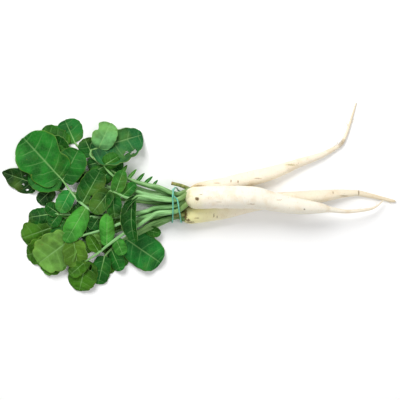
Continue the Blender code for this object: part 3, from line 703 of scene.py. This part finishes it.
def rootFinish(name, body, crown, crownLength, above, scars):
    # pale skin with a coloured crown, pores drawn out across the root, dashes and scars; a scar is
    # its place in the plan, its two half sizes in mm, its strength and its tone
    tree, shader = newFinish(name, 0.42, 0.4)
    shader.inputs["Subsurface Weight"].default_value = 0.12
    shader.inputs["Subsurface Radius"].default_value = (1.0, 0.8, 0.55)
    shader.inputs["Subsurface Scale"].default_value = 3 * mm
    where = objectPlace(tree)
    _, reach, turned, share = placeOf(tree, "rootPlace")
    crossPlace = addNode(tree, "ShaderNodeCombineXYZ", {0: maths(tree, "MULTIPLY", reach, 900.0),
                                                        1: maths(tree, "MULTIPLY", turned, 14.0), 2: 0.0})
    dash = remap(tree, noise(tree, crossPlace.outputs[0], 1.0, 2), 0.63, 0.70)
    thread = noise(tree, crossPlace.outputs[0], 0.55, 3)
    patch = noise(tree, where, 26, 4)
    colour = blendColour(tree, remap(tree, patch, 0.36, 0.66), scaled(body, 0.93), body)
    # beige patches at random places: partly the skin's own blotches, partly painted shade that darkens the
    # pale skin
    beigeBlotchAndShade = remap(tree, noise(tree, where, 44), 0.5, 0.7, 0, 0.5)
    colour = blendColour(tree, beigeBlotchAndShade, colour, shade(226, 206, 172))
    fade = maths(tree, "ADD", reach, maths(tree, "MULTIPLY_ADD", noise(tree, where, 55, 3), 0.03, -0.015))
    top = remap(tree, fade, crownLength, 0.004)
    colour = blendColour(tree, maths(tree, "MULTIPLY", top, 0.75), colour, crown)
    rim = remap(tree, fade, 0.007, 0.001)
    colour = blendColour(tree, maths(tree, "MULTIPLY", rim, 0.35), colour, shade(150, 148, 84))
    tail = maths(tree, "MULTIPLY", remap(tree, share, 0.66, 0.98), 0.4)
    colour = blendColour(tree, tail, colour, shade(219, 196, 156))
    colour = blendColour(tree, maths(tree, "MULTIPLY", dash, 0.5), colour, shade(196, 170, 122))
    colour = blendColour(tree, remap(tree, thread, 0.58, 0.72, 0, 0.18), colour, shade(205, 184, 142))
    speck = remap(tree, noise(tree, where, 330, 2), 0.72, 0.76)
    colour = blendColour(tree, maths(tree, "MULTIPLY", speck, 0.6), colour, shade(168, 136, 90))
    dent = maths(tree, "MULTIPLY", dash, -0.8)
    for x, y, lengthwise, wide, depth, tone in scars:
        centre = (planOrigin[0] + x * mm, planOrigin[1] + y * mm, 0)
        away = addNode(tree, "ShaderNodeVectorMath", {0: where, 1: centre}, operation="SUBTRACT")
        part = addNode(tree, "ShaderNodeSeparateXYZ", {0: away.outputs[0]})
        lengthwise = maths(tree, "DIVIDE", part.outputs[0], lengthwise * mm)
        wide = maths(tree, "DIVIDE", part.outputs[1], wide * mm)
        flat = addNode(tree, "ShaderNodeCombineXYZ", {0: lengthwise, 1: wide, 2: 0.0})
        gone = addNode(tree, "ShaderNodeVectorMath", {0: flat.outputs[0]}, operation="LENGTH")
        ragged = maths(tree, "MULTIPLY_ADD", noise(tree, where, 360, 3), 1.6, -0.8)
        gone = maths(tree, "ADD", gone.outputs["Value"], ragged)
        upper = remap(tree, part.outputs[2], above, above + 6 * mm)
        mask = maths(tree, "MULTIPLY", remap(tree, gone, 1.15, 0.75), upper)
        core = maths(tree, "MULTIPLY", remap(tree, gone, 0.75, 0.3), upper)
        colour = blendColour(tree, maths(tree, "MULTIPLY", mask, depth), colour, tone)
        colour = blendColour(tree, maths(tree, "MULTIPLY", core, depth * 0.9), colour, scaled(tone, 0.35))
        dent = maths(tree, "MULTIPLY_ADD", mask, -2.2 * depth, dent)
    tree.links.new(colour, shader.inputs["Base Color"])
    dull = maths(tree, "MULTIPLY_ADD", noise(tree, where, 150), 0.3, 0.3)
    tree.links.new(dull, shader.inputs["Roughness"])
    height = maths(tree, "MULTIPLY_ADD", thread, 0.5, dent)
    height = maths(tree, "MULTIPLY_ADD", noise(tree, where, 210, 4), 0.6, height)
    addBump(tree, shader, height, 0.4, 0.5 * mm)


finishes = {}       # every material by its name
veinTone = shade(150, 192, 122)
ribTone = shade(116, 166, 88)
yellowing = shade(126, 158, 56)
tones = dict(        # the upper faces of the blades
    deep=shade(18, 80, 18), dark=shade(11, 56, 11), grass=shade(30, 108, 30), bright=shade(62, 142, 46),
    yellow=shade(102, 154, 64), olive=shade(56, 106, 18), bluish=shade(28, 108, 38), pale=shade(104, 170, 98),
    teal=shade(24, 88, 40), moss=shade(38, 100, 20), lime=shade(90, 138, 40),
)
for label, tone in tones.items():
    leafFinish(label, tone, tuple(0.5 * a + 0.5 * b for a, b in zip(tone, veinTone)), yellowing)
stalkFinish("stalk_front", shade(114, 172, 98), shade(160, 216, 142), ribTone)
stalkFinish("stalk_upper", shade(104, 156, 86), shade(150, 196, 128), ribTone)
stalkFinish("stalk_lower", shade(84, 138, 66), shade(142, 190, 110), ribTone)
rootFinish("front_root", shade(251, 244, 227), shade(238, 232, 188), 0.036, 12 * mm, (
    (30, 7.8, 3.4, 2.6, 0.95, shade(134, 112, 70)),
    (36, 14, 2.4, 0.9, 0.5, shade(176, 150, 100)),
    (62, 3, 5.0, 0.9, 0.3, shade(186, 160, 116)),
    (110, 0, 7.0, 1.1, 0.35, shade(190, 160, 116)),
    (188, -7.6, 1.4, 1.1, 0.6, shade(140, 124, 100)),
    (150, 6, 4.0, 0.8, 0.4, shade(186, 156, 110)),
))
rootFinish("upper_root", shade(246, 236, 215), shade(206, 184, 132), 0.052, -20 * mm, (
    (80.6, 34, 0.9, 2.8, 0.75, shade(164, 128, 78)),
    (91, 33, 1.0, 2.4, 0.7, shade(168, 132, 82)),
    (170, 58.5, 10.0, 1.8, 0.4, shade(190, 174, 112)),
    (120, 38, 6.0, 1.0, 0.4, shade(192, 160, 112)),
    (244, 92, 10.0, 7.0, 0.4, shade(176, 156, 122)),
    (33, 27, 9.0, 1.6, 0.6, shade(170, 140, 88)),
    (60, 31, 6.0, 1.2, 0.35, shade(190, 162, 112)),
))
rootFinish("lower_root", shade(243, 233, 210), shade(241, 238, 160), 0.085, -20 * mm, (
    (271.8, 17, 0.8, 5.0, 0.75, shade(150, 118, 72)),
    (232.8, 17, 1.0, 2.4, 0.5, shade(176, 142, 92)),
    (55, -17, 1.2, 2.8, 0.6, shade(160, 136, 84)),
    (60, -19, 0.8, 2.0, 0.6, shade(160, 136, 84)),
    (250, 12, 7.0, 1.4, 0.4, shade(190, 162, 116)),
    (12, -16, 3.4, 9.0, 0.8, shade(128, 100, 54)),
    (17, -24, 3.0, 2.2, 0.8, shade(128, 104, 56)),
    (20, -27, 7.0, 1.8, 0.6, shade(150, 124, 70)),
    (30, -21, 5.0, 1.2, 0.35, shade(178, 160, 96)),
))

tree, shader = newFinish("band", 0.36, 0.5)          # rubber, a little worn
where = objectPlace(tree)
worn = remap(tree, noise(tree, where, 130), 0.3, 0.7)
colour = blendColour(tree, worn, shade(80, 164, 138), shade(116, 200, 176))
tree.links.new(colour, shader.inputs["Base Color"])
addBump(tree, shader, noise(tree, where, 900, 3), 0.3, 0.2 * mm)

tree, shader = newFinish("cutStalk", 0.6, 0.3)       # olive skin, brown where it was cut
where = objectPlace(tree)
_, left, _, _ = placeOf(tree, "stubPlace")
grain = noise(tree, where, 260, 4)
colour = blendColour(tree, remap(tree, grain, 0.35, 0.65), shade(110, 120, 58), shade(160, 162, 96))
colour = blendColour(tree, remap(tree, left, 0.006, 0.0022, 0, 0.8), colour, shade(150, 128, 74))
colour = blendColour(tree, remap(tree, left, 0.0016, 0.0007, 0, 0.9), colour, shade(122, 92, 52))
tree.links.new(colour, shader.inputs["Base Color"])
addBump(tree, shader, grain, 0.6, 0.5 * mm)

print("finishes", len(finishes))

# The leaves in the order they lie, the lowest first. A leaf has its tone, its column in the band,
# its place across the crown, the plan of its stalk, and a spread that widens all its blades; its
# first blade is the end one. A blade has its root, tip and width in mm, cup and tilt in radians,
# lift in mm, notches (along, side, depth, spread), holes (along, across, radius), and at its margin
# teeth of the height called bite. A cup or tilt left out is drawn at random, and anything else left
# out is in bladeUsual.
leafCuts = {
    "lower_leaf_1": dict(
        tone="dark", column=0, base=6.6,
        stalk=((-56, 4), (-100, 9), (-146, 15), (-183, 22), (-208, 29)),
        blades=(
            dict(tip=(-262, 48), width=46, point=0.75, bite=0.1, teeth=4, cup=0.35, tilt=-0.15,
                 holes=((0.5, 0.35, 0.03), (0.36, 0.6, 0.025), (0.52, -0.3, 0.02))),
            dict(root=(-186, 23), tip=(-208, 2), width=26),
            dict(root=(-160, 18), tip=(-172, -3), width=22),
            dict(root=(-176, 21), tip=(-178, 42), width=20),
            dict(root=(-134, 14), tip=(-146, -3), width=18),
        ),
    ),
    "lower_leaf_2": dict(
        tone="olive", column=-1, spread=1.2, base=0,
        stalk=((-40, -22), (-78, -36), (-116, -50), (-146, -58), (-170, -65)),
        blades=(
            dict(tip=(-225, -76), width=36, bite=0.14, teeth=6),
            dict(root=(-164, -64), tip=(-200, -102), width=34, bite=0.14, teeth=5),
            dict(root=(-138, -56), tip=(-134, -74), width=18),
        ),
    ),
    "upper_leaf_1": dict(
        tone="bluish", column=2, base=0,
        stalk=((-40, 18), (-78, 33), (-108, 54), (-130, 72), (-146, 84), (-153, 92)),
        blades=(
            dict(tip=(-168, 126), width=42, cup=-0.35, tilt=0.1, bite=0.04),
        ),
    ),
    "upper_leaf_2": dict(
        tone="deep", column=1, spread=1.2, base=-6.6,
        stalk=((-56, 9), (-98, 21), (-128, 39), (-152, 57), (-166, 69)),
        blades=(
            dict(tip=(-194, 96), width=36),
            dict(root=(-128, 39), tip=(-118, 57), width=18),
            dict(root=(-142, 51), tip=(-158, 36), width=20),
            dict(root=(-116, 32), tip=(-128, 18), width=18),
        ),
    ),
    "lower_leaf_3": dict(
        tone="moss", column=-1, spread=1.2, base=0,
        stalk=((-40, -21), (-78, -28), (-116, -33), (-148, -33), (-178, -32)),
        blades=(
            dict(tip=(-232, -51), width=40, bite=0.15, teeth=6, tone="olive"),
            dict(root=(-172, -33), tip=(-190, -12), width=20),
            dict(root=(-153, -33), tip=(-166, -51), width=20),
            dict(root=(-134, -33), tip=(-146, -15), width=18),
            dict(root=(-116, -33), tip=(-123, -51), width=16),
        ),
    ),
    "lower_leaf_4": dict(
        tone="olive", column=-2, spread=1.2, base=-6.6,
        stalk=((-33, -26), (-58, -42), (-86, -63), (-108, -81), (-122, -93)),
        blades=(
            dict(tip=(-158, -123), width=34),
            dict(root=(-108, -81), tip=(-98, -104), width=20),
            dict(root=(-98, -72), tip=(-112, -58), width=16),
        ),
    ),
    "upper_leaf_3": dict(
        tone="deep", column=2, spread=1.3, base=0,
        stalk=((-40, 14), (-74, 26), (-100, 44), (-118, 62), (-126, 72)),
        blades=(
            dict(tip=(-138, 98), width=24),
            dict(root=(-118, 62), tip=(-134, 58), width=14),
            dict(root=(-110, 52), tip=(-108, 70), width=16),
        ),
    ),
    "upper_leaf_4": dict(
        tone="grass", column=1, base=-6.6,
        stalk=((-40, 12), (-62, 17), (-87, 21), (-108, 28), (-126, 40), (-141, 54), (-154, 74),
               (-164, 85)),
        blades=(
            dict(tip=(-203, 110), width=42, cup=-0.4, tilt=0.1, tone="moss"),
            dict(root=(-129, 46), tip=(-86, 74), width=28, cup=-0.8, tilt=-0.2, tone="moss", bow=-0.12),
            dict(root=(-114, 32), tip=(-98, 54), width=22),
            dict(root=(-146, 60), tip=(-172, 48), width=22),
        ),
    ),
    "lower_leaf_5": dict(
        tone="deep", column=0, spread=1.3, base=6.6,
        stalk=((-40, -12), (-78, -18), (-116, -27), (-146, -36), (-166, -45)),
        blades=(
            dict(tip=(-194, -60), width=30),
            dict(root=(-138, -34), tip=(-130, -53), width=18),
            dict(root=(-116, -27), tip=(-126, -10), width=18),
            dict(root=(-93, -22), tip=(-88, -38), width=14),
            dict(root=(-153, -39), tip=(-170, -25), width=20),
        ),
    ),
    "lower_leaf_6": dict(
        tone="moss", column=-2, spread=1.2, base=-6.6,
        stalk=((-28, -31), (-48, -40), (-68, -52), (-80, -62)),
        blades=(
            dict(tip=(-90, -95), width=26),
            dict(root=(-46, -38), tip=(-24, -44), width=14),
        ),
    ),
    "lower_leaf_7": dict(
        tone="grass", column=-2, base=-6.6,
        stalk=((-28, -26), (-45, -34), (-63, -44), (-80, -53), (-98, -67), (-108, -78)),
        blades=(
            dict(tip=(-118, -120), width=30),
            dict(root=(-76, -52), tip=(-24, -88), width=54, cup=-0.3, tilt=-0.1, back=0.09, bite=0.03,
                 belly=0.86, tone="bluish"),
            dict(root=(-98, -67), tip=(-84, -100), width=26),
        ),
    ),
    "upper_leaf_5": dict(
        tone="bluish", column=2, base=6.6,
        stalk=((-40, 26), (-70, 36), (-98, 51), (-118, 64), (-129, 73), (-127, 81)),
        blades=(
            dict(tip=(-52, 104), width=54, lean=-0.35, cup=0.5, tilt=-0.2, bite=0.07, tone="teal",
                 holes=((0.62, -0.62, 0.03), (0.7, -0.75, 0.045))),
            dict(root=(-104, 55), tip=(-80, 62), width=24),
            dict(root=(-116, 83), tip=(-99, 121), width=38, cup=0.4, tilt=0.15, lift=7, tone="pale",
                 notches=((0.6, 1, 0.3, 0.06),)),
        ),
    ),
    "upper_leaf_6": dict(
        tone="grass", column=2, base=6.6,
        stalk=((-26, 25), (-40, 28), (-56, 32), (-70, 37), (-82, 42), (-92, 47)),
        blades=(
            dict(tip=(-112, 60), width=11, point=0.6),
            dict(root=(-36, 27), tip=(-28, 36), width=5, point=0.6),
            dict(root=(-48, 30), tip=(-36, 41), width=6, point=0.6),
            dict(root=(-60, 33), tip=(-48, 46), width=6.5, point=0.6),
            dict(root=(-72, 38), tip=(-60, 52), width=6.5, point=0.6),
            dict(root=(-84, 43), tip=(-74, 58), width=8, point=0.6),
        ),
    ),
    "front_leaf_1": dict(
        tone="deep", column=0, spread=1.3, base=0,
        stalk=((-40, -10), (-70, -17), (-100, -20), (-130, -19), (-159, -16), (-188, -15)),
        blades=(
            dict(tip=(-222, -20), width=22),
            dict(root=(-176, -15), tip=(-196, -1), width=16),
            dict(root=(-158, -16), tip=(-176, 0), width=18),
            dict(root=(-176, -15), tip=(-190, -33), width=16),
            dict(root=(-138, -19), tip=(-153, -2), width=18),
            dict(root=(-116, -20), tip=(-128, -38), width=18),
            dict(root=(-88, -19), tip=(-100, -35), width=16),
        ),
    ),
    "front_leaf_2": dict(
        tone="yellow", column=-1, base=-6.6,
        stalk=((-40, -17), (-78, -27), (-108, -38), (-134, -45), (-148, -50), (-160, -54)),
        blades=(
            dict(tip=(-207, -89), width=60, bite=0.13, teeth=5, cup=0.35, tilt=-0.1, back=0.1),
            dict(root=(-154, -53), tip=(-148, -96), width=38, tone="lime", bite=0.12, teeth=4,
                 cup=0.3, tilt=0.15, lift=4),
            dict(root=(-123, -42), tip=(-118, -66), width=22),
        ),
    ),
    "front_leaf_3": dict(
        tone="moss", column=1, base=6.6,
        stalk=((-48, 15), (-78, 30), (-98, 45), (-108, 57)),
        blades=(
            dict(tip=(-86, 71), width=26, tone="moss", cup=-0.5, point=0.15, lift=7),
        ),
    ),
    "front_leaf_4": dict(
        tone="grass", column=0, base=0,
        stalk=((-34, -6), (-43, -10), (-64, -14), (-86, -17), (-110, -14), (-128, -9), (-138, -2),
               (-147, 5), (-158, 18), (-166, 29), (-172, 37)),
        blades=(
            dict(tip=(-229, 99), width=72, belly=0.82, back=0.1, cup=0.25, tilt=0.05, lift=3.5,
                 notches=((0.42, -1, 0.25, 0.07), (0.45, 1, 0.16, 0.06)), bite=0.025, veins=7),
            dict(root=(-171, 35), tip=(-223, 42), width=42, cup=0.2, tilt=0.1, lift=1, bite=0.03),
            dict(root=(-171, 35), tip=(-147, 81), width=48, cup=0.3, tilt=-0.1, lift=1, bite=0.03,
                 back=0.12),
            dict(root=(-159, 19), tip=(-175, -12), width=27, cup=0.25, tilt=0.1, tone="bluish"),
            dict(root=(-134, -3), tip=(-166, -57), width=34, belly=0.78, point=0.15, cup=-0.35,
                 tilt=0.1, back=0, tone="bright"),
            dict(root=(-141, 1), tip=(-114, 50), width=38, cup=0.3, tilt=-0.15, tone="deep",
                 holes=((0.42, -0.4, 0.045),)),
        ),
    ),
    "front_leaf_5": dict(
        tone="deep", column=1, base=6.6,
        stalk=((-40, 8), (-72, 9), (-88, 16), (-99, 20)),
        blades=(
            dict(tip=(-125, -13), width=31, cup=0.45, tilt=0.25, back=0.08),
            dict(root=(-96, 19), tip=(-92, -20), width=25, cup=0.5, tilt=-0.2, back=0.08),
            dict(root=(-91, 17), tip=(-79, 50), width=24, tone="grass", point=0.2),
            dict(root=(-80, 13), tip=(-61, 31), width=18, tone="grass", point=0.2),
        ),
    ),
    "front_leaf_6": dict(
        tone="bright", column=-1, base=-6.6,
        stalk=((-28, -13), (-43, -22), (-56, -31), (-74, -41), (-93, -54), (-116, -72), (-135, -85)),
        blades=(
            dict(tip=(-146, -129), width=44, tone="olive", cup=-0.5, tilt=0.2, bite=0.09,
                 holes=((0.36, 0.42, 0.075), (0.55, -0.5, 0.03))),
            dict(root=(-104, -62), tip=(-103, -14), width=24, cup=-0.3, tilt=0.1, bite=0.035,
                 point=0.1),
            dict(root=(-90, -52), tip=(-80, -76), width=22),
            dict(root=(-116, -71), tip=(-131, -46), width=20, tone="olive", cup=0.7),
            dict(root=(-134, -84), tip=(-160, -106), width=24, tone="olive"),
        ),
    ),
    "front_leaf_7": dict(
        tone="deep", column=1, base=6.6,
        stalk=((-26, 7), (-44, 11), (-57, 12), (-66, 7)),
        blades=(
            dict(tip=(-61, -57), width=27, cup=0.8, tilt=0.15, point=0.2, bow=-0.12, tone="deep",
                 bite=0.03),
            dict(root=(-58, 12), tip=(-78, -15), width=12, cup=1.2, tilt=0.1, point=0.4, bow=-0.15,
                 bite=0.02),
        ),
    ),
}


for name, cut in leafCuts.items():
    buildLeaf(name, cut)
print("leaves", len(leafCuts))
for number, name in enumerate(rootRoutes):
    buildRoot(name, 1.3 + 2.1 * number)
for name in stubRoutes:
    buildStub(name)
buildBand()
print("roots, cut stalks and band")


# floor, light and camera
def addLight(name, place, size, power):
    # a disk lamp that stands off from the middle of the bunch and looks at it
    light = bpy.data.lights.new(name, "AREA")
    light.shape = "DISK"
    light.size = size
    light.energy = power
    lamp = bpy.data.objects.new(name, light)
    bpy.context.collection.objects.link(lamp)
    lamp.location = (middle.x + place[0], middle.y + place[1], place[2])
    lamp.rotation_euler = (middle - lamp.location).to_track_quat("-Z", "Y").to_euler()


studio = dict(
    floorReach=3.0, floorTone=0.97, sky=0.36,
    overhead=((-0.6, 1.0, 1.25), 1.0, 25), fill=((0.8, -0.5, 1.6), 1.4, 11),     # place, size and power
    cameraOver=(0.9 * mm, -5.1 * mm), cameraHeight=2.2, viewWidth=0.6, sensor=36,
)
middle = (cadLow + cadHigh) / 2
floorPoints = np.array([(-1, -1, 0), (1, -1, 0), (1, 1, 0), (-1, 1, 0)], float) * studio["floorReach"]
floor = makePiece("floor", floorPoints, [np.array([(0, 1, 2, 3)])])
tree, shader = newFinish("floor", 0.9, 0.1)
shader.inputs["Base Color"].default_value = (studio["floorTone"],) * 3 + (1,)
floor.data.materials.append(finishes["floor"])

scene = bpy.context.scene
scene.world = bpy.data.worlds.new("studio")
scene.world.use_nodes = True
sky = scene.world.node_tree.nodes["Background"]
sky.inputs["Color"].default_value = (1.0, 1.0, 1.0, 1)
sky.inputs["Strength"].default_value = studio["sky"]
scene.view_settings.view_transform = "Standard"
addLight("overhead", *studio["overhead"])
addLight("fill", *studio["fill"])

camera = bpy.data.objects.new("camera", bpy.data.cameras.new("camera"))
bpy.context.collection.objects.link(camera)
camera.location = (*studio["cameraOver"], studio["cameraHeight"])
camera.data.sensor_width = studio["sensor"]
camera.data.lens = studio["sensor"] * studio["cameraHeight"] / studio["viewWidth"]
scene.camera = camera

print("floor, light and camera")
